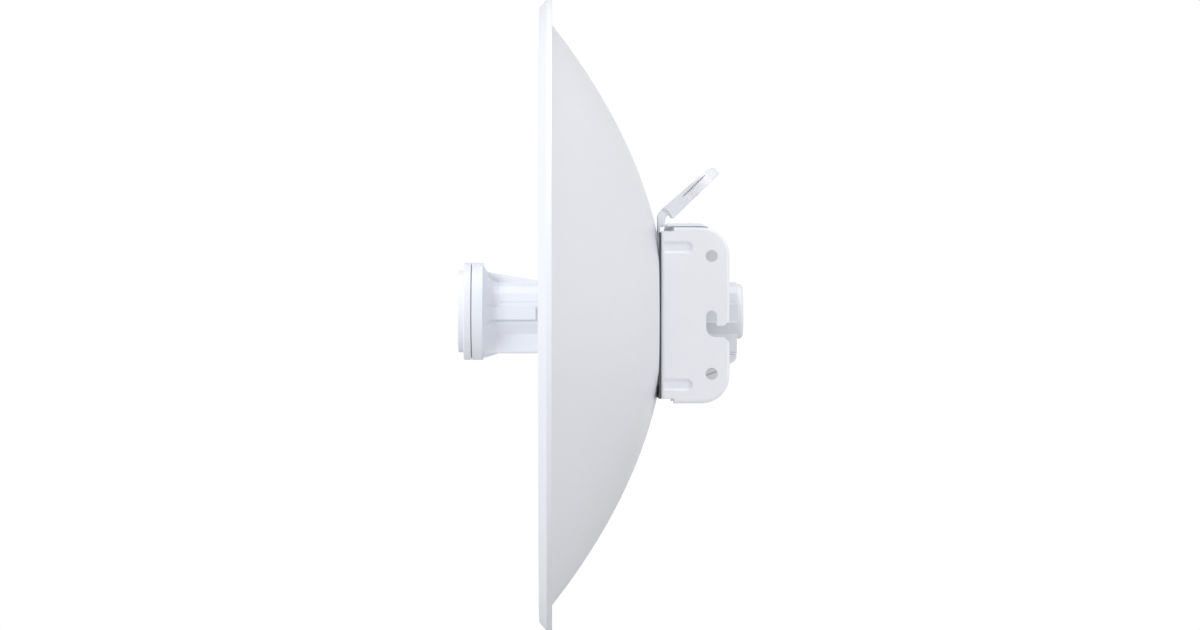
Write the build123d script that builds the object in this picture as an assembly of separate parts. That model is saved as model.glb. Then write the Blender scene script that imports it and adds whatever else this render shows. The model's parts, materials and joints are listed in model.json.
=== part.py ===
from build123d import *
import os
from math import cos, radians, sin, sqrt

# Outdoor dish radio without its pole clamp. Millimetres, +X towards the rear, +Z up.
# Everything is drawn with X = 0 at the rim's front plane and Z = 0 on the dish axis, and
# moved as it is written, so that the origin is the centre of the bracket's four bolt holes.

# Dish
RIM_R = 260.0
RIM_DEPTH = 10.6
RIM_FRONT_R = 252.6
RIM_SKIRT_R = 259.0
RIM_SKIRT_X = 5.9
SHEET = 1.2
PARABOLA = 606.0
VERTEX_X = 104.5
PAD_BACK_X = 97.4
DISH_STEPS = 12
APERTURE_HALF_Y = 30.5
APERTURE_TOP = 31.5
APERTURE_BOTTOM = -44.5
APERTURE_CORNER_R = 10.0

# Bracket
BRACKET_FRONT_X = 99.3
BRACKET_REAR_X = 154.7
BRACKET_HALF_Y = 50.0
BRACKET_HALF_Z = 71.7
BRACKET_SHEET = 2.5
BEND_R = 2.8
REAR_CORNER_R = 23.0
FLANGE_END_X = 134.0
FAR_Z = 80.0
RELIEF_END_X = 109.4
RELIEF_Z = 68.0
BOTTOM_GAP_HALF_Y = 33.0
ROOF_FRONT_X = 104.0
ROOF_TOP_Z = 74.4
ROOF_SLOPE_X = 131.0
ROOF_END = (139.2, 70.2)
ROOF_GAP = 0.15
RIVET_X = 119.0
RIVET_Y = (-18.0, 18.0)
RIVET_R = 2.0
RIVET_HEAD_R = 3.6
HOLE_X = 140.0
HOLE_Z = 47.85
HOLE_R = 4.75
SLOT_FRONT_X = 135.7
SLOT_LEG_REAR_X = 144.0
SLOT_TOP_Z = 3.4
SLOT_UPPER_Z = -9.1
SLOT_LOWER_Z = -17.9
SLOT_CORNER_R = 7.5
SLOT_CHAMFER = 4.8
BEAD_REAR_X = 124.8
BEAD_Z = (54.9, -56.6)
BEAD_HALF_Z = 5.0
BEAD_DEPTH = 1.8
BEAD_SLOPE = 52.0
DISH_BOLT_Y = 39.0
DISH_BOLT_Z = 41.0
DISH_BOLT_R = 3.0
BOLT_HEAD_R = 7.0
NUT_R = 5.0
SPACER_HALF_Y = 6.5
SPACER_Z = (-57.0, -33.0)
GASKET_HALF_Y = 47.0
GASKET_Z = (-68.0, 67.0)
GASKET_GAP = 0.4

# Lifting eye
EYE_BASE_Z = 35.0
EYE_FOOT_HALF_Y = 44.0
EYE_HALF_Y = 15.0
EYE_RING_R = 22.0
EYE_HOLE_R = 13.0
EYE_BEND = (101.2, 87.4)
EYE_SLOPE = 40.9
EYE_RING_U = 32.6
EYE_WALL = 1.5
EYE_SLIT = ((115.8, 95.0), (136.8, 115.4))
EYE_SLIT_HALF = 0.75

# Feed, with its own axis a little above the dish axis
FEED_Z = 3.0
FLANGE_R = 40.0
FLANGE_FRONT_X = -62.1
FLANGE_SEAM_X = -55.5
FLANGE_REAR_X = -46.0
FLANGE_BORE_R = 34.0
SEAM_GROOVE_R = 38.2
SEAM_GROOVE_HALF = 0.4
SEAL_BORE_R = 36.0
SEAL_X = 1.5
CAP_SCREW_R = 1.5
CAP_SCREW_HEAD_R = 2.7
CAP_SCREW_AT = 22.6
CAP_FRONT_X = -66.6
CAP_R = 33.8
FLARE_START_R = 38.6
FLARE_WAIST = (-42.0, 30.6)
BORE_END_X = -44.8
FLARE_END_X = -33.0
RIDGE_HALF_Y = 8.5
TUBE_REAR_X = 162.0
TUBE_TOP = 24.0
TUBE_HALF_Y = 26.7
TUBE_WAIST_HALF_Y = 25.9
SHOULDER_Z = -9.4
BOX_HALF_Y = 20.5
BOX_BOTTOM = -34.5
RAIL_HALF_Y = 28.6
RAIL_TOP = 3.4
RAIL_BOTTOM = -6.9
RAIL_END_X = -2.7
SEAM = 7.6
WALL = 2.2
REAR_CAP_X = 167.3
REAR_CAP_R = 22.5
STOP_X = 95.9
SLEEVE_END_X = 128.0
STOP_THICK = 2.4
SLIDING_GAP = 0.5

# Socket for the feed, inside the bracket
SOCKET_X = BRACKET_FRONT_X + BRACKET_SHEET
SOCKET_SHEET = 2.6
SLEEVE_WALL = 2.4
RIB_Y = (13.0, 15.4)
SOCKET_SCREW_R = 1.7

# Electronics and port
BOARD_X = (6.0, 152.0)
BOARD_HALF_Y = 21.5
BOARD_TOP = -8.0
BOARD_THICK = 1.6
BOARD_SCREW_X = (12.0, 100.0)
BOARD_SCREW_Y = 17.5
BOARD_SCREW_R = 1.5
CAN_X = ((22.0, 52.0), (60.0, 92.0))
CAN_HALF_Y = 13.0
CAN_HEIGHT = 3.0
PAD_THICK = 1.0
LED_Y = (-9.0, -3.0, 3.0, 9.0)
LED_Z = -9.0
LED_R = 1.4
JACK_X = 132.0
HOOD_FRONT_X = 118.0
HOOD_REAR_X = 161.7
HOOD_TOP = -35.2
HOOD_BOTTOM = -44.6
HOOD_HALF_Y = 18.5
HOOD_WALL = 1.8
HOOD_RAIL_X = (120.0, 155.5)
BUTTON_X = 148.0
BUTTON_R = 1.5
SWITCH_HEIGHT = 3.4


def block(x0, x1, y0, y1, z0, z1):
    return Pos((x0 + x1) / 2, (y0 + y1) / 2, (z0 + z1) / 2) * Box(x1 - x0, y1 - y0, z1 - z0)


def rod(r, x0, x1, y=0.0, z=0.0):
    return Pos((x0 + x1) / 2, y, z) * Rot(0, 90, 0) * Cylinder(r, x1 - x0)


def post(r, z0, z1, x=0.0, y=0.0):
    return Pos(x, y, (z0 + z1) / 2) * Cylinder(r, z1 - z0)


def across(face, x0, x1):
    """A face drawn in (y, z), extruded along X."""
    return Pos(x0, 0, 0) * extrude(Plane.YZ * face, amount=x1 - x0, dir=(1, 0, 0))


def sideways(face, y0, y1):
    """A face drawn in (x, z), extruded along Y."""
    return Pos(0, y0, 0) * extrude(Plane.XZ * face, amount=y1 - y0, dir=(0, 1, 0))


def spun(face):
    """A face drawn in (x, radius), turned about the dish axis."""
    return revolve(Plane.XZ * face, axis=Axis.X, revolution_arc=360)


def outline(*points):
    return Polygon(*points, align=None)


def mirrored_outline(points):
    """A closed outline from its right half, listed from top to bottom."""
    left = [(-y, z) for y, z in reversed(points) if y > 0]
    return outline(*points, *left)


def rounded_window(half_y, top, bottom, corner):
    return Pos(0, (top + bottom) / 2) * RectangleRounded(2 * half_y, top - bottom, corner)


def group(shapes):
    """Identical pieces that share one node, each its own solid."""
    return Compound([solid for shape in shapes for solid in shape.solids()])


def both_sides(shape):
    return [shape, mirror(shape, about=Plane.XZ)]


def four_corners(y, z):
    return [(side * y, end * z) for side in (-1, 1) for end in (-1, 1)]


# ---------------------------------------------------------------- dish

DISH_BOLTS = four_corners(DISH_BOLT_Y, DISH_BOLT_Z)


def aperture(grow=0.0):
    """The window that the feed passes through, in the dish and in the bracket's front plate."""
    return rounded_window(
        APERTURE_HALF_Y + grow, APERTURE_TOP + grow, APERTURE_BOTTOM - grow, APERTURE_CORNER_R
    )


def drill_for_dish_bolts(shape):
    for y, z in DISH_BOLTS:
        shape -= rod(DISH_BOLT_R + 0.3, PAD_BACK_X - 5, BRACKET_FRONT_X + 5, y, z)
    return shape


def dish_back_r(x):
    return sqrt(PARABOLA * (VERTEX_X - x))


def dish_front_point(r_back):
    """The front surface's point, one sheet thickness in from the back surface."""
    x = VERTEX_X - r_back**2 / PARABOLA
    norm = sqrt(PARABOLA**2 + 4 * r_back**2)
    return (x - SHEET * PARABOLA / norm, r_back - SHEET * 2 * r_back / norm)


def dish_rim(back_end, front_end):
    """The rolled rim: a rounded front edge, a flaring skirt and a short cylinder."""
    return [
        back_end,
        (1.9, RIM_FRONT_R - 0.8),
        (RIM_SKIRT_X + 0.9, RIM_SKIRT_R - 0.9),
        (RIM_DEPTH, RIM_R - SHEET),
        (RIM_DEPTH, RIM_R),
        (RIM_SKIRT_X + 0.6, RIM_R),
        (RIM_SKIRT_X - 0.4, RIM_SKIRT_R),
        (0.9, RIM_FRONT_R + 0.6),
        (0.2, RIM_FRONT_R - 0.4),
        (0.0, RIM_FRONT_R - 1.4),
        (0.1, front_end[1] + 0.9),
        front_end,
    ]


def dish_reflector():
    pad_r = dish_back_r(PAD_BACK_X)
    rim_back_r = dish_back_r(2.0)
    radii = [pad_r + (rim_back_r - pad_r) * i / DISH_STEPS for i in range(DISH_STEPS + 1)]
    back = [(VERTEX_X - r**2 / PARABOLA, r) for r in radii]
    front = [dish_front_point(r) for r in radii]
    pad_front_x = PAD_BACK_X - SHEET
    front[0] = (pad_front_x, front[0][1])
    edges = Polyline((PAD_BACK_X, 0), back[0]) + Spline(*back)
    edges += Polyline(*dish_rim(back[-1], front[-1])) + Spline(*reversed(front))
    edges += Polyline(front[0], (pad_front_x, 0), (PAD_BACK_X, 0))
    dish = spun(make_face(edges)) - across(aperture(), PAD_BACK_X - 5, PAD_BACK_X + 5)
    return drill_for_dish_bolts(dish)


def lower_spacers():
    plates = []
    for y in (-DISH_BOLT_Y, DISH_BOLT_Y):
        plate = block(PAD_BACK_X, BRACKET_FRONT_X, y - SPACER_HALF_Y, y + SPACER_HALF_Y, *SPACER_Z)
        plates.append(drill_for_dish_bolts(plate))
    return group(plates)


def pad_gasket():
    """The rubber sheet between the dish and the bracket, cut out for the eye's foot and the spacers."""
    front, rear, gap = PAD_BACK_X, BRACKET_FRONT_X, GASKET_GAP
    sheet = block(front, rear, -GASKET_HALF_Y, GASKET_HALF_Y, *GASKET_Z)
    sheet -= across(aperture(gap), front - 5, front + 5)
    half = EYE_FOOT_HALF_Y + gap
    sheet -= block(front - 5, front + 5, -half, half, EYE_BASE_Z - gap, FAR_Z)
    z0, z1 = SPACER_Z[0] - gap, SPACER_Z[1] + gap
    y0, y1 = DISH_BOLT_Y - SPACER_HALF_Y - gap, DISH_BOLT_Y + SPACER_HALF_Y + gap
    for pocket in both_sides(block(front - 5, front + 5, y0, y1, z0, z1)):
        sheet -= pocket
    return sheet


def dish_bolts():
    head_x = PAD_BACK_X - SHEET
    bolts = []
    for y, z in DISH_BOLTS:
        dome = rod(BOLT_HEAD_R, head_x - 3.3, head_x, y, z)
        dome = fillet(dome.edges().sort_by(Axis.X)[0], 2.8)
        bolts.append(dome + rod(DISH_BOLT_R, head_x, 110.0, y, z))
    return group(bolts)


def dish_nuts():
    nuts = []
    for y, z in DISH_BOLTS:
        nut = rod(NUT_R + 1.8, SOCKET_X, SOCKET_X + 1.2, y, z)
        hexagon = Pos(y, z) * RegularPolygon(NUT_R, 6, major_radius=False)
        nut += across(hexagon, SOCKET_X + 1.2, SOCKET_X + 6.0)
        nuts.append(nut - rod(DISH_BOLT_R, SOCKET_X - 1, SOCKET_X + 9, y, z))
    return group(nuts)


# ---------------------------------------------------------------- bracket


def bracket_side():
    side = outline(
        (BRACKET_FRONT_X, -BRACKET_HALF_Z),
        (BRACKET_REAR_X, -BRACKET_HALF_Z),
        (BRACKET_REAR_X, BRACKET_HALF_Z),
        (BRACKET_FRONT_X, BRACKET_HALF_Z),
    )
    return fillet(side.vertices().sort_by(Axis.X)[-2:], REAR_CORNER_R)


def bracket_shell():
    """A tray: front plate, two walls and their inward flanges, open at the rear."""
    outer = sideways(bracket_side(), -BRACKET_HALF_Y, BRACKET_HALF_Y)
    bends = outer.faces().filter_by(Axis.Y).edges() + outer.faces().sort_by(Axis.X)[0].edges()
    outer = fillet(bends.filter_by(lambda e: e.center().X < BRACKET_REAR_X - 0.1), BEND_R)
    inner_y = BRACKET_HALF_Y - BRACKET_SHEET
    inner_z = BRACKET_HALF_Z - BRACKET_SHEET
    rear = BRACKET_REAR_X + 9
    inner = block(SOCKET_X, rear, -inner_y, inner_y, -inner_z, inner_z)
    inner = fillet(inner.edges().filter_by(Axis.X), BEND_R - BRACKET_SHEET)
    shell = outer - inner
    for z0, z1 in ((30.0, 90.0), (-90.0, -30.0)):
        shell -= block(FLANGE_END_X, rear, -inner_y, inner_y, z0, z1)
    return shell


def hook_slot():
    """The L-shaped slot that hangs on a clamp bolt, drawn in (x, z)."""
    leg_r = (SLOT_LEG_REAR_X - SLOT_FRONT_X) / 2
    leg_x = SLOT_FRONT_X + leg_r
    leg_top = SLOT_TOP_Z - leg_r
    leg = Pos(leg_x, (leg_top + SLOT_LOWER_Z) / 2) * Rectangle(2 * leg_r, leg_top - SLOT_LOWER_Z)
    mouth_x = BRACKET_REAR_X + 2
    throat = outline(
        (SLOT_FRONT_X + 1, SLOT_LOWER_Z),
        (BRACKET_REAR_X - SLOT_CHAMFER, SLOT_LOWER_Z),
        (mouth_x, SLOT_LOWER_Z - SLOT_CHAMFER - 2),
        (mouth_x, SLOT_UPPER_Z + SLOT_CHAMFER + 2),
        (BRACKET_REAR_X - SLOT_CHAMFER, SLOT_UPPER_Z),
        (SLOT_FRONT_X + 1, SLOT_UPPER_Z),
    )
    slot = leg + throat
    corner = [v for v in slot.vertices() if v.X < SLOT_FRONT_X + 0.01 and v.Y < SLOT_LOWER_Z + 0.01]
    return fillet(corner, SLOT_CORNER_R) + Pos(leg_x, leg_top) * Circle(leg_r)


def bead(grow, y_face, z_mid):
    """A long stamped bead in a wall's outer face, with sloping sides and a rounded rear end."""
    half = BEAD_HALF_Z + grow
    x0, x1 = BRACKET_FRONT_X - 8, BEAD_REAR_X + grow
    face = outline((x0, -half), (x1, -half), (x1, half), (x0, half))
    face = fillet(face.vertices().sort_by(Axis.X)[-2:], half * 0.97)
    wall = Plane(origin=(0, y_face, z_mid), x_dir=(1, 0, 0), z_dir=(0, -1, 0))
    shape = extrude(wall * face, amount=BEAD_DEPTH, dir=(0, -1, 0), taper=BEAD_SLOPE)
    zone = block(BRACKET_FRONT_X + BEND_R - 0.6, BRACKET_REAR_X, 0, 99, z_mid - 20, z_mid + 20)
    return shape & zone


def bracket_beads(bracket):
    y_in = BRACKET_HALF_Y - BRACKET_SHEET
    for z_mid in BEAD_Z:
        for bump in both_sides(bead(0.9, y_in + 0.01, z_mid)):
            bracket += bump
        for recess in both_sides(bead(0.0, BRACKET_HALF_Y, z_mid)):
            bracket -= recess
    return bracket


def bracket_roof():
    """The far wall's top flange, lapped over the near wall's flange and turned down at the rear."""
    profile = outline(
        (ROOF_FRONT_X, 60.0),
        (ROOF_FRONT_X, ROOF_TOP_Z),
        (ROOF_SLOPE_X, ROOF_TOP_Z),
        ROOF_END,
        (ROOF_END[0], 60.0),
    )
    roof = sideways(profile, -BRACKET_HALF_Y + 0.4, BRACKET_HALF_Y)
    far_edge = roof.edges().filter_by(Axis.X).filter_by(lambda e: e.center().Y > 0 and e.center().Z > 70)
    roof = fillet(far_edge, BEND_R)
    inner_y = BRACKET_HALF_Y - BRACKET_SHEET
    below = offset(bracket_side(), amount=ROOF_GAP, kind=Kind.INTERSECTION)
    return roof - sideways(below, -BRACKET_HALF_Y - 9, inner_y)


def bracket_cuts(bracket):
    """The reliefs at the front corners, the cable gap in the floor and the roof's slit."""
    front, rear = BRACKET_FRONT_X, BRACKET_REAR_X
    for z0, z1 in ((RELIEF_Z, FAR_Z), (-FAR_Z, -RELIEF_Z)):
        bracket -= block(front - 1, RELIEF_END_X, -FAR_Z, FAR_Z, z0, z1)
    gap = BOTTOM_GAP_HALF_Y
    bracket -= block(SOCKET_X, rear, -gap, gap, -FAR_Z, -RELIEF_Z + 6)
    return bracket - block(SOCKET_X, rear, BRACKET_HALF_Y - 10, BRACKET_HALF_Y - BRACKET_SHEET, 60, FAR_Z)


def mount_bracket():
    bracket = bracket_beads(bracket_cuts(bracket_shell()) + bracket_roof())
    bracket -= across(aperture(), BRACKET_FRONT_X - 1, BRACKET_FRONT_X + 5)
    bracket -= sideways(hook_slot(), -FAR_Z, FAR_Z)
    for z in (-HOLE_Z, HOLE_Z):
        bracket -= Pos(HOLE_X, 0, z) * Rot(90, 0, 0) * Cylinder(HOLE_R, 2 * FAR_Z)
    for y, z in SOCKET_SCREWS:
        bracket -= rod(SOCKET_SCREW_R, BRACKET_FRONT_X - 1, BRACKET_FRONT_X + 5, y, z)
    for y in RIVET_Y:
        bracket -= post(RIVET_R, 60, FAR_Z, RIVET_X, y)
    return drill_for_dish_bolts(bracket)


def roof_rivets():
    """Headed inside the bracket and closed flush with the roof."""
    under_z = BRACKET_HALF_Z - BRACKET_SHEET
    rivets = []
    for y in RIVET_Y:
        rivet = post(RIVET_R, under_z, ROOF_TOP_Z, RIVET_X, y)
        rivets.append(rivet + post(RIVET_HEAD_R, under_z - 1.2, under_z, RIVET_X, y))
    return group(rivets)


# ---------------------------------------------------------------- lifting eye


def eye_plane():
    along, rise = cos(radians(EYE_SLOPE)), sin(radians(EYE_SLOPE))
    return Plane(origin=(EYE_BEND[0], 0, EYE_BEND[1]), x_dir=(along, 0, rise), z_dir=(rise, 0, -along))


def eye_tongue(inset):
    r = EYE_RING_R - inset
    half = EYE_HALF_Y - inset
    neck = outline((-8, -half), (EYE_RING_U, -r), (EYE_RING_U, r), (-8, half))
    return neck + Pos(EYE_RING_U, 0) * Circle(r)


def eye_ring():
    """The sloping loop: a dished tongue with a turned-down edge and a collared hole."""
    plane = eye_plane()
    profile = outline(
        EYE_BEND,
        (135.8, 117.4),
        (140.5, 120.6),
        (144.0, 121.3),
        (147.0, 120.2),
        (148.7, 117.2),
        (145.7, 113.7),
        (111.6, 80.7),
        (109.8, 79.9),
        (108.3, 80.6),
        (107.6, 82.2),
        (105.8, 84.6),
    )
    body = extrude(plane * eye_tongue(0), amount=14, dir=plane.z_dir) & sideways(profile, -30, 30)
    body -= extrude(plane.offset(EYE_WALL) * eye_tongue(EYE_WALL), amount=14, dir=plane.z_dir)
    centre = Pos(EYE_RING_U, 0)
    body += extrude(plane * centre * Circle(EYE_HOLE_R + EYE_WALL), amount=5, dir=plane.z_dir)
    return body - extrude(plane.offset(-5) * centre * Circle(EYE_HOLE_R), amount=30, dir=plane.z_dir)


def eye_stem():
    """The flat foot between the dish and the bracket, its bend and the bend's turned edges."""
    front, back = PAD_BACK_X, BRACKET_FRONT_X
    foot = [(EYE_FOOT_HALF_Y, 50), (EYE_HALF_Y, 64), (EYE_HALF_Y, 80)]
    foot = mirrored_outline(list(reversed(foot)) + [(EYE_FOOT_HALF_Y, EYE_BASE_Z)])
    lower_bend = [(98.6, 84.6), (front, 81.5)]
    bend = outline((front, 76), (back, 76), (back, 80), (104.3, 85.6), EYE_BEND, *lower_bend)
    stem = across(foot, front, back) + sideways(bend, -EYE_HALF_Y, EYE_HALF_Y)
    edge = outline(
        (front, 73),
        (102.6, 73),
        (103.4, 76.5),
        (104.2, 79.8),
        (105.4, 81.8),
        (107.5, 82.6),
        (105.6, 85.2),
        (103.4, 87.2),
        EYE_BEND,
        *lower_bend,
    )
    for side in both_sides(sideways(edge, EYE_HALF_Y - EYE_WALL, EYE_HALF_Y)):
        stem += side
    return stem


def eye_slits():
    """A lens-shaped slit in the turned-down edge on each side, level with the hole's collar."""
    (x0, z0), (x1, z1) = EYE_SLIT
    middle = Vector((x0 + x1) / 2, (z0 + z1) / 2)
    across_slit = Vector(z0 - z1, x1 - x0).normalized() * EYE_SLIT_HALF
    sides = [ThreePointArc(EYE_SLIT[0], middle + shift, EYE_SLIT[1]) for shift in (across_slit, -across_slit)]
    lens = sideways(make_face(sides[0] + sides[1]), -30, 30)
    plane = eye_plane()
    return lens - extrude(plane * eye_tongue(EYE_WALL + 0.8), amount=20, dir=plane.z_dir)


def lifting_eye():
    eye = eye_stem() + eye_ring()
    for slit in eye_slits().solids():
        eye -= slit
    return drill_for_dish_bolts(eye)


# ---------------------------------------------------------------- feed tube


def tube_section(*side):
    """The feed tube's section in (y, z): a round upper body over a narrower box."""
    half = [
        (0, TUBE_TOP),
        (RIDGE_HALF_Y, TUBE_TOP),
        (18.0, 20.6),
        (23.4, 15.0),
        *side,
        (TUBE_HALF_Y, SHOULDER_Z),
        (BOX_HALF_Y, SHOULDER_Z - 9.0),
        (BOX_HALF_Y, BOX_BOTTOM),
        (0, BOX_BOTTOM),
    ]
    face = mirrored_outline(half)
    face = fillet([v for v in face.vertices() if 14.0 < v.Y < 21.0], 5.0)
    return fillet([v for v in face.vertices() if abs(v.Y - BOX_BOTTOM) < 0.1 and abs(v.X) > 1], 2.5)


def tube_face():
    """The outside: each side steps out in a small ledge just above the lower shoulder."""
    waist = TUBE_WAIST_HALF_Y
    ledge_z = SHOULDER_Z + 0.3 + TUBE_HALF_Y - waist
    return Pos(0, FEED_Z) * tube_section((waist, 5.4), (waist, ledge_z), (TUBE_HALF_Y, SHOULDER_Z + 0.3))


def plain_tube_face(grow):
    """The section without its ledges, grown or, for the inside, shrunk."""
    return Pos(0, FEED_Z) * offset(tube_section((TUBE_HALF_Y, 5.4)), amount=grow, kind=Kind.INTERSECTION)


def top_ridge():
    """The narrow ridge along the top, falling from the flange to the tube."""
    profile = outline((-44, 18), (-44, 32.6), (-32.4, 30.7), (8, TUBE_TOP), (8, 18))
    ridge = sideways(profile, -RIDGE_HALF_Y, RIDGE_HALF_Y)
    sides = ridge.edges().filter_by(lambda e: e.center().Z > 25)
    ridge = fillet(sides.filter_by(lambda e: abs(abs(e.center().Y) - RIDGE_HALF_Y) < 0.1), 2.5)
    return Pos(0, 0, FEED_Z) * ridge


def flare():
    """The trumpet between the flange and the tube: a cone, then a hollow curve."""
    start, end = (FLANGE_REAR_X, FLARE_START_R), (-34.5, 25.9)
    curve = ThreePointArc(FLARE_WAIST, (-38.6, 27.4), end)
    edges = curve + Polyline(end, (end[0], 0), (FLANGE_REAR_X, 0), start, FLARE_WAIST)
    chin = outline((FLANGE_REAR_X, -FLARE_START_R), (-36, BOX_BOTTOM), (-36, -15), (FLANGE_REAR_X, -15))
    return Pos(0, 0, FEED_Z) * (spun(make_face(edges)) + sideways(chin, -15, 15))


def feed_outer():
    outer = across(tube_face(), FLANGE_REAR_X, TUBE_REAR_X) + flare() + top_ridge()
    rail = block(-44, RAIL_END_X, TUBE_HALF_Y - 1, RAIL_HALF_Y, FEED_Z + RAIL_BOTTOM, FEED_Z + RAIL_TOP)
    for side in both_sides(rail):
        outer += side
    return outer + rod(FLANGE_R, FLANGE_SEAM_X, FLANGE_REAR_X, 0, FEED_Z)


def feed_inner():
    inner = across(plain_tube_face(-WALL), BORE_END_X, TUBE_REAR_X - 1.8)
    return inner + rod(FLANGE_BORE_R, FLANGE_SEAM_X, BORE_END_X, 0, FEED_Z)


def cover_zone():
    return block(FLARE_END_X, TUBE_REAR_X + 5, -60, 60, FEED_Z + SEAM, 60)


def seam_groove():
    """The groove round the flange where its two halves meet, open down to the seal."""
    x0, x1 = FLANGE_SEAM_X - SEAM_GROOVE_HALF, FLANGE_SEAM_X + SEAM_GROOVE_HALF
    return rod(FLANGE_R + 1, x0, x1, 0, FEED_Z) - rod(SEAM_GROOVE_R, x0 - 1, x1 + 1, 0, FEED_Z)


def cover_seam():
    """A fine groove along each side where the cover meets the lower body."""
    groove = outline((26.5, SEAM + 0.6), (24.95, SEAM), (26.5, SEAM - 0.6))
    return both_sides(across(Pos(0, FEED_Z) * groove, FLARE_END_X + 2, TUBE_REAR_X + 1))


def cap_screw_places():
    return [(y, FEED_Z + z) for y, z in four_corners(CAP_SCREW_AT, CAP_SCREW_AT)]


def add_screw_bosses(body):
    """Round bosses inside the flange, drilled for the cap's screws."""
    x0, x1 = FLANGE_SEAM_X, FLANGE_REAR_X + 1
    for y, z in cap_screw_places():
        body += rod(3.4, x0, x1, y, z) & rod(FLANGE_R, x0, x1, 0, FEED_Z)
        body -= rod(CAP_SCREW_R, x0 - 1, x0 + 7.5, y, z)
    return body


def board_screw_places():
    return [(x, y) for x in BOARD_SCREW_X for y in (-BOARD_SCREW_Y, BOARD_SCREW_Y)]


def feed_body():
    body = feed_outer() - feed_inner() - cover_zone() - cover_gasket() - seal_ring() - seam_groove()
    floor_z = FEED_Z + BOX_BOTTOM
    body -= block(JACK_X - 9.3, JACK_X + 9.3, -9.3, 9.3, floor_z - 3, floor_z + 4)
    body -= post(BUTTON_R + 0.05, floor_z - 3, floor_z + 4, BUTTON_X)
    for groove in cover_seam():
        body -= groove
    body = add_screw_bosses(body)
    for x, y in board_screw_places():
        body += block(x - 3, x + 3, y - 2.6, y + 2.6, floor_z + 1, FEED_Z + BOARD_TOP - BOARD_THICK)
    for rail in hood_rails():
        body += rail
    return body


def feed_cover():
    cover = (feed_outer() - feed_inner()) & cover_zone()
    for groove in cover_seam():
        cover -= groove
    return cover


def cover_gasket():
    """Two strips that lie in the top edge of the lower body."""
    z = FEED_Z + SEAM
    return group(both_sides(block(FLARE_END_X + 2.5, TUBE_REAR_X - 1.4, 23.9, 24.7, z - 1.0, z)))


def stop_collar():
    """The collar that closes the dish's opening from the front."""
    collar = rounded_window(32.2, 34.0, -46.0, 12.0) - tube_face()
    return across(collar, STOP_X - STOP_THICK, STOP_X)


def rear_cap():
    cap = rod(REAR_CAP_R, TUBE_REAR_X, REAR_CAP_X, 0, FEED_Z)
    cap = chamfer(cap.edges().sort_by(Axis.X)[-1], 1.9)
    cap = chamfer(cap.edges().sort_by(Axis.X)[0], 0.4)
    return cap - rod(18.0, REAR_CAP_X - 1.2, REAR_CAP_X + 1, 0, FEED_Z) - status_lights()


def status_lights():
    x = REAR_CAP_X
    return group(rod(LED_R, x - 3.0, x - 0.6, y, FEED_Z + LED_Z) for y in LED_Y)


# ---------------------------------------------------------------- flange and antenna


def seal_ring():
    ring = rod(SEAM_GROOVE_R, FLANGE_SEAM_X, FLANGE_SEAM_X + SEAL_X, 0, FEED_Z)
    return ring - rod(SEAL_BORE_R, FLANGE_SEAM_X - 1, FLANGE_SEAM_X + 3, 0, FEED_Z)


def flange_cap():
    front, seam = FLANGE_FRONT_X, FLANGE_SEAM_X
    cap = rod(FLANGE_R, front, seam, 0, FEED_Z)
    cap = fillet(cap.edges().sort_by(Axis.X)[0], 1.2)
    cap -= rod(FLANGE_BORE_R, front + 2.4, seam + 1, 0, FEED_Z) + seam_groove()
    for y, z in cap_screw_places():
        cap += rod(3.4, front + 2, seam, y, z)
        cap -= rod(CAP_SCREW_R, front - 1, seam + 1, y, z)
        cap -= rod(CAP_SCREW_HEAD_R + 0.1, front - 1, front + 1.6, y, z)
    return cap


def cap_screws():
    head_x = FLANGE_FRONT_X + 1.6
    screws = []
    for y, z in cap_screw_places():
        screw = rod(CAP_SCREW_R, head_x, FLANGE_SEAM_X + 6, y, z)
        screws.append(screw + rod(CAP_SCREW_HEAD_R, head_x - 1.5, head_x, y, z))
    return group(screws)


def front_disc():
    disc = rod(CAP_R, CAP_FRONT_X, FLANGE_FRONT_X, 0, FEED_Z)
    disc = fillet(disc.edges().sort_by(Axis.X)[0], 0.9)
    return disc - rod(31.5, FLANGE_FRONT_X - 2.4, FLANGE_FRONT_X + 1, 0, FEED_Z)


def sub_reflector():
    return rod(31.0, FLANGE_FRONT_X - 1.6, FLANGE_FRONT_X - 0.4, 0, FEED_Z)


def antenna_board():
    board = rod(30.0, FLANGE_SEAM_X + 1, FLANGE_SEAM_X + 1 + BOARD_THICK, 0, FEED_Z)
    for y, z in cap_screw_places():
        board -= rod(3.8, FLANGE_SEAM_X - 5, FLANGE_SEAM_X + 9, y, z)
    return board


# ---------------------------------------------------------------- electronics


def coax_pigtails():
    z = FEED_Z - 5.5
    cables = []
    for y in (-6.0, 6.0):
        cable = rod(0.9, FLANGE_SEAM_X + 1 + BOARD_THICK, 10.0, y, z)
        cables.append(cable + block(10.0, 13.0, y - 1.5, y + 1.5, FEED_Z + BOARD_TOP, z + 1.3))
    return group(cables)


def radio_board():
    top = FEED_Z + BOARD_TOP
    board = block(*BOARD_X, -BOARD_HALF_Y, BOARD_HALF_Y, top - BOARD_THICK, top)
    for x, y in board_screw_places():
        board -= post(BOARD_SCREW_R + 0.1, top - 9, top + 9, x, y)
    return board


def board_screws():
    top = FEED_Z + BOARD_TOP
    screws = []
    for x, y in board_screw_places():
        screws.append(post(BOARD_SCREW_R, top - BOARD_THICK, top, x, y) + post(2.6, top, top + 1.8, x, y))
    return group(screws)


def rf_shields():
    z = FEED_Z + BOARD_TOP
    return group(block(*span, -CAN_HALF_Y, CAN_HALF_Y, z, z + CAN_HEIGHT) for span in CAN_X)


def thermal_pads():
    z = FEED_Z + BOARD_TOP + CAN_HEIGHT
    return group(block(x0 + 4, x1 - 4, -10, 10, z, z + PAD_THICK) for x0, x1 in CAN_X)


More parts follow.
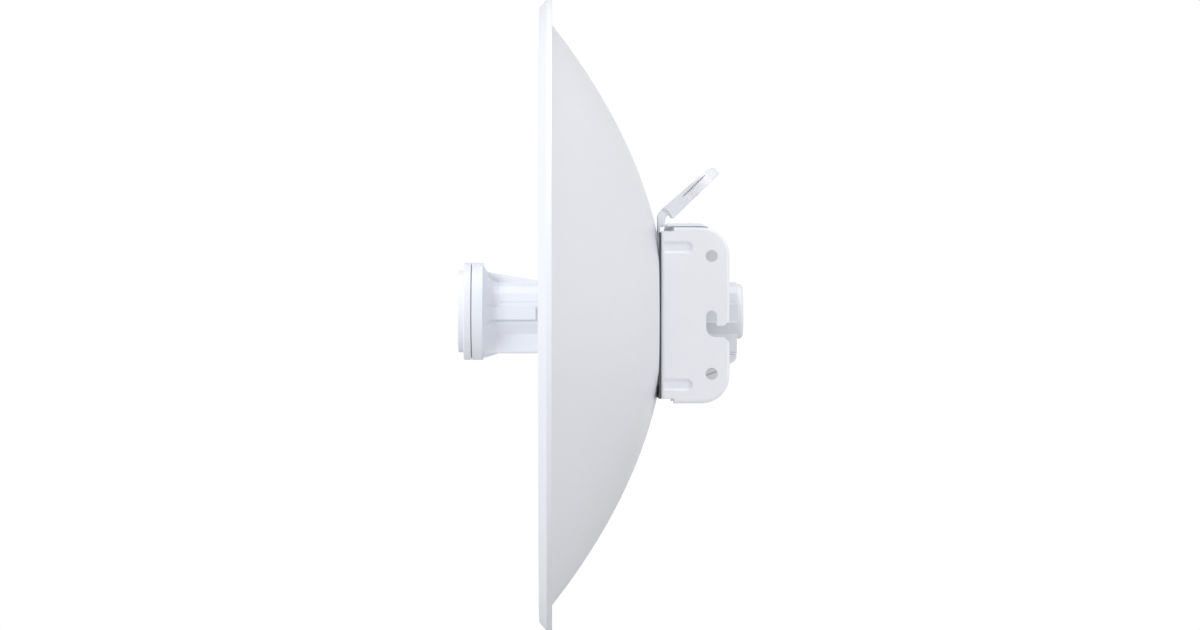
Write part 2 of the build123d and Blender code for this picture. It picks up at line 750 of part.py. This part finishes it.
def heat_spreader():
    z = FEED_Z + BOARD_TOP + CAN_HEIGHT + PAD_THICK
    spreader = block(20, 94, -15, 15, z, z + 2)
    for i in range(7):
        y = -13.5 + 4.5 * i
        spreader += block(22, 92, y - 0.6, y + 0.6, z + 1, z + 13)
    return spreader


def ethernet_jack():
    face_z = FEED_Z + BOX_BOTTOM + 0.6
    jack = block(JACK_X - 8, JACK_X + 8, -8, 8, face_z, FEED_Z + BOARD_TOP - BOARD_THICK)
    jack -= block(JACK_X - 5.4, JACK_X + 2.6, -5.9, 5.9, face_z - 1, face_z + 13)
    return jack - block(JACK_X + 2, JACK_X + 5.4, -3.2, 3.2, face_z - 1, face_z + 13)


def reset_switch():
    z = FEED_Z + BOARD_TOP - BOARD_THICK
    return block(BUTTON_X - 3, BUTTON_X + 3, -3, 3, z - SWITCH_HEIGHT, z)


def reset_button():
    floor_z = FEED_Z + BOX_BOTTOM
    switch_z = FEED_Z + BOARD_TOP - BOARD_THICK - SWITCH_HEIGHT
    stem = post(BUTTON_R, floor_z + 0.2, switch_z - 0.9, BUTTON_X)
    return stem + post(2.6, floor_z + WALL + 0.1, floor_z + WALL + 1.3, BUTTON_X)


# ---------------------------------------------------------------- port cover


def hood_rails():
    z = FEED_Z + BOX_BOTTOM
    web = block(*HOOD_RAIL_X, 12.6, 14.0, z - 4.2, z + 0.5)
    return both_sides(web + block(*HOOD_RAIL_X, 12.6, 15.6, z - 4.2, z - 3.0))


def hood_profile():
    top, bottom = FEED_Z + HOOD_TOP, FEED_Z + HOOD_BOTTOM
    return outline(
        (HOOD_FRONT_X, top),
        (HOOD_REAR_X, top),
        (HOOD_REAR_X - 0.2, top - 3.4),
        (HOOD_REAR_X - 1.2, top - 5.0),
        (154.7, bottom + 0.3),
        (153.0, bottom),
        (HOOD_FRONT_X, bottom),
    )


def port_cover():
    top, bottom = FEED_Z + HOOD_TOP, FEED_Z + HOOD_BOTTOM
    front, inner_y = HOOD_FRONT_X, HOOD_HALF_Y - HOOD_WALL
    hood = sideways(hood_profile(), -HOOD_HALF_Y, HOOD_HALF_Y)
    hood = fillet(hood.edges().filter_by(Axis.X).sort_by(Axis.Z)[:2], 2.0)
    hood -= block(front + HOOD_WALL, 158.8, -inner_y, inner_y, bottom + HOOD_WALL, top + 1)
    end_wall = block(156, 160, -inner_y, inner_y, top - 8, top)
    hood += end_wall & sideways(hood_profile(), -HOOD_HALF_Y, HOOD_HALF_Y)
    hood -= block(front - 1, front + 5, -inner_y + 1, inner_y - 1, top - 5.6, top + 1)
    for lip in both_sides(block(front, 157, 14.5, inner_y + 0.5, top - 1.8, top)):
        hood += lip
    hood -= post(4.5, bottom - 1, bottom + 4, JACK_X + 1)
    return hood - block(front - 1, JACK_X + 1, -4.5, 4.5, bottom - 1, bottom + 6)


# ---------------------------------------------------------------- socket inside the bracket

SOCKET_SCREWS = four_corners(38.0, 18.0)


def sleeve_face(grow):
    """The feed tube's section and the port cover's, together, grown by a clearance."""
    height = -HOOD_BOTTOM - 20 + 2 * grow
    hood = Pos(0, FEED_Z + (HOOD_BOTTOM - 20) / 2) * Rectangle(2 * (HOOD_HALF_Y + grow), height)
    return plain_tube_face(grow) + hood


def socket_ribs():
    """Two pairs of ribs that stiffen the sleeve, the lower ones scored along a diagonal."""
    x0, rear = SOCKET_X, 147.0
    upper = outline((x0, 57), (rear, 54), (rear + 1, 50), (rear + 1, 33), (SLEEVE_END_X, 33), (x0, 27))
    lower = outline((x0, -44), (rear, -44), (rear + 1, -47), (rear + 1, -56), (x0, -65))
    score = outline((128, -53.4), (rear + 2, -45.4), (rear + 2, -44.4), (128, -52.4))
    ribs = both_sides(sideways(upper, *RIB_Y))
    ribs += both_sides(sideways(lower, *RIB_Y) - sideways(score, RIB_Y[1] - 1.3, RIB_Y[1] + 1))
    return ribs


def feed_socket():
    flange = rounded_window(29.5, 58.0, -66.0, 6.0) + rounded_window(44.0, 29.0, -30.0, 5.0)
    socket = across(flange, SOCKET_X, SOCKET_X + SOCKET_SHEET)
    socket += across(sleeve_face(SLIDING_GAP + SLEEVE_WALL), SOCKET_X, SLEEVE_END_X)
    for rib in socket_ribs():
        socket += rib
    socket -= across(sleeve_face(SLIDING_GAP), SOCKET_X - 1, 160)
    for y, z in SOCKET_SCREWS:
        socket -= rod(SOCKET_SCREW_R, SOCKET_X - 1, SOCKET_X + 9, y, z)
    return socket


def socket_screws():
    head_x = SOCKET_X + SOCKET_SHEET
    screws = []
    for y, z in SOCKET_SCREWS:
        screw = rod(SOCKET_SCREW_R, BRACKET_FRONT_X + 0.3, head_x, y, z)
        screws.append(screw + rod(3.2, head_x, head_x + 2.0, y, z))
    return group(screws)


# ---------------------------------------------------------------- one file per piece

PIECES = [
    dish_reflector,
    mount_bracket,
    roof_rivets,
    lifting_eye,
    lower_spacers,
    pad_gasket,
    dish_bolts,
    dish_nuts,
    feed_socket,
    socket_screws,
    feed_body,
    feed_cover,
    cover_gasket,
    stop_collar,
    flange_cap,
    seal_ring,
    cap_screws,
    front_disc,
    sub_reflector,
    antenna_board,
    coax_pigtails,
    radio_board,
    board_screws,
    rf_shields,
    thermal_pads,
    heat_spreader,
    ethernet_jack,
    reset_switch,
    reset_button,
    rear_cap,
    status_lights,
    port_cover,
]

os.makedirs("parts", exist_ok=True)
for piece in PIECES:
    name = piece.__name__
    shape = Pos(-HOLE_X, 0, 0) * piece()
    export_step(shape, f"parts/{name}.step")
    size = shape.bounding_box().size
    print(f"{name:16s} {len(shape.solids())} solids {size.X:.1f} x {size.Y:.1f} x {size.Z:.1f}")
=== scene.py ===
import bmesh
import bpy
import json
from math import cos, pi, sin, tau
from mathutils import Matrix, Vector
from mathutils.bvhtree import BVHTree


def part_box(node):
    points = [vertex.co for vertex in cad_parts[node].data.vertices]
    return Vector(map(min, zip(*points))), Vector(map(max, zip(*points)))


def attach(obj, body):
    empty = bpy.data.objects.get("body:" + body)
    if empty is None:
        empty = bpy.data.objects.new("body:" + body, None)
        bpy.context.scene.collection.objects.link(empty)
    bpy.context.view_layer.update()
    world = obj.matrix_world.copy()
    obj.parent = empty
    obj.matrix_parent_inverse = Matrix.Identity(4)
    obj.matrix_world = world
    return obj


FEED_AXIS_Z = 0.003
FLANGE_DEPTH = 0.0095
FLARE_R = 0.0387
FLARE_LENGTH = 0.013
FLARE_ROWS = 14
FLARE_ROW_SPREAD = 1.3
FLARE_COLUMNS = 480
OUTLINE_PAST_FLARE = 0.0005
FLARE_END_DIP = 0.0002
CAMERA_PLACE = (-0.127, -3.2, 0.0)
CAMERA_LENS = 116.5
CAMERA_SHIFT_X = 0.0375
FLOOR_R = 6.4
FLOOR_Z = -0.9
FLOOR_GREY = 0.66
WORLD_HORIZON, WORLD_ABOVE, WORLD_BELOW = 1.02, 0.51, 0.60
LIGHTS = [
    ("key", (-2.5, -2.0, 1.3), (-0.1, 0, 0), 1.5, 57, (0.94, 0.96, 1.0)),
    ("overhead", (0.0, -0.3, 2.6), (0, 0, 0), 2.0, 24, (1, 1, 1)),
    ("rear", (2.2, -1.8, 1.6), (0, 0, 0), 1.6, 30, (1, 1, 1)),
]

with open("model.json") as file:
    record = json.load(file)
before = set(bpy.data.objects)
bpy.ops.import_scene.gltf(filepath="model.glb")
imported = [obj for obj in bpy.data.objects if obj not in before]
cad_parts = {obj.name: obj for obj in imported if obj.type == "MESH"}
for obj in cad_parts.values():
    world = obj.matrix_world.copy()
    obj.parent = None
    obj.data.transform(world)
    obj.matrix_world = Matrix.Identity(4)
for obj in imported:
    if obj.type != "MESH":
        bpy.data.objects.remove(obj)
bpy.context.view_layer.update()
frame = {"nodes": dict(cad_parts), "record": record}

# ------------------------------------------------------------------ material nodes


class Paint:
    """A Principled material whose colour, roughness and bump come from procedural nodes."""

    def __init__(self, name, colour, roughness, metallic=0.0, **sockets):
        self.material = bpy.data.materials.new(name)
        self.material.use_nodes = True
        self.tree = self.material.node_tree
        self.shader = self.tree.nodes["Principled BSDF"]
        self.colour = tuple(colour) + (1.0,)
        self.set("Base Color", self.colour)
        self.set("Roughness", roughness)
        self.set("Metallic", metallic)
        for socket, value in sockets.items():
            self.set(socket.replace("_", " "), value)
        self.bumps = None
        self.place = self.tree.nodes.new("ShaderNodeTexCoord").outputs["Object"]

    def set(self, socket, value):
        self.shader.inputs[socket].default_value = value

    def link(self, source, target):
        self.tree.links.new(source, target)

    def noise(self, scale, detail=2.0, rough=0.5, stretch=None):
        node = self.tree.nodes.new("ShaderNodeTexNoise")
        node.inputs["Scale"].default_value = scale
        node.inputs["Detail"].default_value = detail
        node.inputs["Roughness"].default_value = rough
        place = self.place
        if stretch:
            mapping = self.tree.nodes.new("ShaderNodeMapping")
            mapping.inputs["Scale"].default_value = stretch
            self.link(self.place, mapping.inputs["Vector"])
            place = mapping.outputs["Vector"]
        self.link(place, node.inputs["Vector"])
        return node.outputs["Fac"]

    def ramp(self, source, low, high, out_low=0.0, out_high=1.0):
        node = self.tree.nodes.new("ShaderNodeMapRange")
        node.inputs["From Min"].default_value = low
        node.inputs["From Max"].default_value = high
        node.inputs["To Min"].default_value = out_low
        node.inputs["To Max"].default_value = out_high
        self.link(source, node.inputs["Value"])
        return node.outputs["Result"]

    def vary_roughness(self, source, low, high):
        self.link(self.ramp(source, 0.3, 0.7, low, high), self.shader.inputs["Roughness"])

    def tint(self, mask, colour, amount=1.0):
        """Mixes another colour in where the mask is 1."""
        mix = self.tree.nodes.new("ShaderNodeMix")
        mix.data_type = "RGBA"
        factor = self.ramp(mask, 0.0, 1.0, 0.0, amount)
        self.link(factor, mix.inputs["Factor"])
        base = self.shader.inputs["Base Color"]
        if base.links:
            self.link(base.links[0].from_socket, mix.inputs["A"])
        else:
            mix.inputs["A"].default_value = self.colour
        mix.inputs["B"].default_value = tuple(colour) + (1.0,)
        self.link(mix.outputs["Result"], base)

    def bump(self, height, distance, strength=1.0):
        node = self.tree.nodes.new("ShaderNodeBump")
        node.inputs["Distance"].default_value = distance
        node.inputs["Strength"].default_value = strength
        self.link(height, node.inputs["Height"])
        if self.bumps:
            self.link(self.bumps, node.inputs["Normal"])
        self.bumps = node.outputs["Normal"]
        self.link(self.bumps, self.shader.inputs["Normal"])

    def soft_edges(self, radius):
        """Rounds the shading of edges. It comes before the bumps."""
        node = self.tree.nodes.new("ShaderNodeBevel")
        node.samples = 8
        node.inputs["Radius"].default_value = radius
        self.bumps = node.outputs["Normal"]
        self.link(self.bumps, self.shader.inputs["Normal"])


def powder_coat(name, colour, grain, edge):
    paint = Paint(name, colour, 0.42, Coat_Weight=0.15, Coat_Roughness=0.3)
    paint.soft_edges(edge)
    paint.vary_roughness(paint.noise(90, 3), 0.36, 0.5)
    paint.tint(paint.ramp(paint.noise(7, 4), 0.4, 0.75), (0.70, 0.71, 0.73), 0.12)
    paint.bump(paint.noise(1400, 2), 0.00004, grain)
    return paint.material


def moulded(name, colour, roughness=0.4):
    paint = Paint(name, colour, roughness, Specular_IOR_Level=0.5)
    paint.soft_edges(0.0006)
    paint.vary_roughness(paint.noise(60, 3), roughness - 0.05, roughness + 0.06)
    paint.tint(paint.ramp(paint.noise(12, 4), 0.4, 0.8), (0.72, 0.73, 0.74), 0.1)
    paint.bump(paint.noise(2600, 2), 0.00002, 0.5)
    return paint.material


def metal(name, colour, roughness):
    paint = Paint(name, colour, roughness, metallic=1.0)
    paint.vary_roughness(paint.noise(300, 3), roughness - 0.08, roughness + 0.1)
    paint.bump(paint.noise(900, 3), 0.00002, 0.4)
    return paint.material


# The eye's white is the bracket's paint made duller: painted shade.
EYE_SHADED_WHITE = (0.86, 0.87, 0.91)
# The bracket's white is lighter than the dish's, though both wear the same white paint: painted light
# on the bracket.
BRACKET_LIT_WHITE = (0.91, 0.925, 0.97)
MATERIALS = {
    "painted_dish": powder_coat("dish_powder_coat", (0.79, 0.80, 0.84), 0.8, 0.0005),
    # The bracket's coat takes the lightened white: painted light.
    "painted_bracket": powder_coat("bracket_coat_painted_light", BRACKET_LIT_WHITE, 0.4, 0.0011),
    "zinc_fastener": metal("zinc_plate", (0.72, 0.72, 0.73), 0.34),
    "socket_plastic": moulded("socket_plastic", (0.78, 0.79, 0.81), 0.5),
    "feed_plastic": moulded("feed_plastic", (0.85, 0.865, 0.92), 0.36),
    # The near-black seal rubber is a seal's own colour and also painted shade, filling the gap between
    # dish and bracket and the bottom of the flange seam.
    "seal_rubber": moulded("seal_rubber", (0.1, 0.1, 0.105), 0.6),
    "bare_aluminium": metal("bare_aluminium", (0.77, 0.78, 0.79), 0.4),
    "circuit_board": moulded("circuit_board", (0.02, 0.13, 0.05), 0.35),
    "coax_jacket": moulded("coax_jacket", (0.02, 0.02, 0.022), 0.45),
    "tinned_steel": metal("tinned_steel", (0.76, 0.76, 0.75), 0.3),
    "thermal_pad": moulded("thermal_pad", (0.35, 0.42, 0.5), 0.8),
    "black_plastic": moulded("black_plastic", (0.02, 0.02, 0.022), 0.45),
    "clear_lens": moulded("clear_lens", (0.7, 0.8, 0.85), 0.15),
}

slots = {entry["node"]: entry["material_slot"] for entry in frame["record"]["subparts"]}
for name, node in frame["nodes"].items():
    node.data.materials.clear()
    node.data.materials.append(MATERIALS[slots[name]])
# The eye catches more of the light from behind than the bracket does, so its coat is painted a duller
# white than the bracket's same paint: painted shade.
frame["nodes"]["lifting_eye"].data.materials[0] = powder_coat("eye_coat_painted_shade", EYE_SHADED_WHITE, 0.1, 0.0012)

# ------------------------------------------------------------------ the flare's smooth skin


def tube_outline(x, count):
    """The feed tube's shape at one place in X, as (angle, radius) about the feed's axis."""
    trees = []
    for name in ("feed_body", "feed_cover"):
        mesh = frame["nodes"][name].data
        faces = [tuple(face.vertices) for face in mesh.polygons]
        trees.append(BVHTree.FromPolygons([v.co for v in mesh.vertices], faces))
    outline = []
    for step in range(count):
        angle = step * tau / count
        out = Vector((0, cos(angle), sin(angle)))
        start = Vector((x, 0, FEED_AXIS_Z)) + out * FLARE_R * 2
        hits = [tree.ray_cast(start, -out)[3] for tree in trees]
        outline.append((angle, FLARE_R * 2 - min(hit for hit in hits if hit is not None)))
    return outline


def flare_radius(angle, tube_r, along):
    """From the flange (along 0) to the tube (along 1): steep on top, slanting underneath."""
    up = sin(angle)
    power = 2.5 + 2.0 * max(up, 0) ** 2 - 1.5 * max(-up, 0) ** 2
    return tube_r + (FLARE_R - tube_r) * (1 - along) ** power


def flare_skin():
    """A moulded fillet from the flange's round edge into the tube, its rails and its ridge."""
    flange_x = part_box("feed_body")[0][0] + FLANGE_DEPTH
    outline = tube_outline(flange_x + FLARE_LENGTH + OUTLINE_PAST_FLARE, FLARE_COLUMNS)
    shape = bmesh.new()
    rows = []
    for step in range(FLARE_ROWS + 1):
        along = (step / FLARE_ROWS) ** FLARE_ROW_SPREAD
        x = flange_x + FLARE_LENGTH * along
        dip = FLARE_END_DIP if step == FLARE_ROWS else 0
        row = []
        for angle, tube_r in outline:
            r = flare_radius(angle, tube_r, along) - dip
            row.append(shape.verts.new((x, r * cos(angle), FEED_AXIS_Z + r * sin(angle))))
        rows.append(row)
    for near, far in zip(rows, rows[1:]):
        for i in range(len(near)):
            shape.faces.new((near[i - 1], near[i], far[i], far[i - 1]))
    bmesh.ops.recalc_face_normals(shape, faces=shape.faces)
    mesh = bpy.data.meshes.new("flare_skin")
    shape.to_mesh(mesh)
    shape.free()
    mesh.shade_smooth()
    skin = bpy.data.objects.new("flare_skin", mesh)
    bpy.context.scene.collection.objects.link(skin)
    mesh.materials.append(MATERIALS["feed_plastic"])
    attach(skin, "feed_unit")


flare_skin()

# ------------------------------------------------------------------ stage


def stage_floor():
    """A pale round floor, well below the held object and short of the main view."""
    mesh = bpy.data.meshes.new("floor")
    rim = [(FLOOR_R * cos(a), FLOOR_R * sin(a), FLOOR_Z) for a in (i * tau / 96 for i in range(96))]
    mesh.from_pydata(rim, [], [tuple(range(96))])
    floor = bpy.data.objects.new("floor", mesh)
    bpy.context.scene.collection.objects.link(floor)
    paint = Paint("floor_paint", (FLOOR_GREY,) * 3, 0.9)
    paint.bump(paint.noise(3, 3), 0.002, 0.1)
    mesh.materials.append(paint.material)


def area_light(name, place, target, size, power, colour=(1, 1, 1)):
    data = bpy.data.lights.new(name, "AREA")
    data.shape = "SQUARE"
    data.size = size
    data.energy = power
    data.color = colour
    light = bpy.data.objects.new(name, data)
    light.location = place
    light.rotation_euler = (Vector(target) - Vector(place)).to_track_quat("-Z", "Y").to_euler()
    bpy.context.scene.collection.objects.link(light)


def world_light(horizon, above, below):
    """White all round the horizon, brighter overhead and dimmer underneath."""
    world = bpy.data.worlds.new("studio")
    bpy.context.scene.world = world
    world.use_nodes = True
    nodes, links = world.node_tree.nodes, world.node_tree.links
    place = nodes.new("ShaderNodeTexCoord")
    split = nodes.new("ShaderNodeSeparateXYZ")
    links.new(place.outputs["Generated"], split.inputs["Vector"])
    up = band(nodes, links, split.outputs["Z"], 0.10, 0.22, horizon, above)
    down = band(nodes, links, split.outputs["Z"], -0.22, -0.10, below - horizon, 0.0)
    total = nodes.new("ShaderNodeMath")
    links.new(up, total.inputs[0])
    links.new(down, total.inputs[1])
    links.new(total.outputs["Value"], nodes["Background"].inputs["Strength"])
    nodes["Background"].inputs["Color"].default_value = (1, 1, 1, 1)


def band(nodes, links, height, low, high, at_low, at_high):
    node = nodes.new("ShaderNodeMapRange")
    node.interpolation_type = "SMOOTHSTEP"
    for name, value in (("From Min", low), ("From Max", high), ("To Min", at_low), ("To Max", at_high)):
        node.inputs[name].default_value = value
    links.new(height, node.inputs["Value"])
    return node.outputs["Result"]


def camera():
    data = bpy.data.cameras.new("camera")
    data.sensor_width = 36.0
    data.lens = CAMERA_LENS
    data.shift_x = CAMERA_SHIFT_X
    view = bpy.data.objects.new("camera", data)
    view.location = CAMERA_PLACE
    view.rotation_euler = (pi / 2, 0, 0)
    bpy.context.scene.collection.objects.link(view)
    bpy.context.scene.camera = view


stage_floor()
world_light(WORLD_HORIZON, WORLD_ABOVE, WORLD_BELOW)
for light in LIGHTS:
    area_light(*light)
camera()
bpy.context.scene.view_settings.view_transform = "Standard"
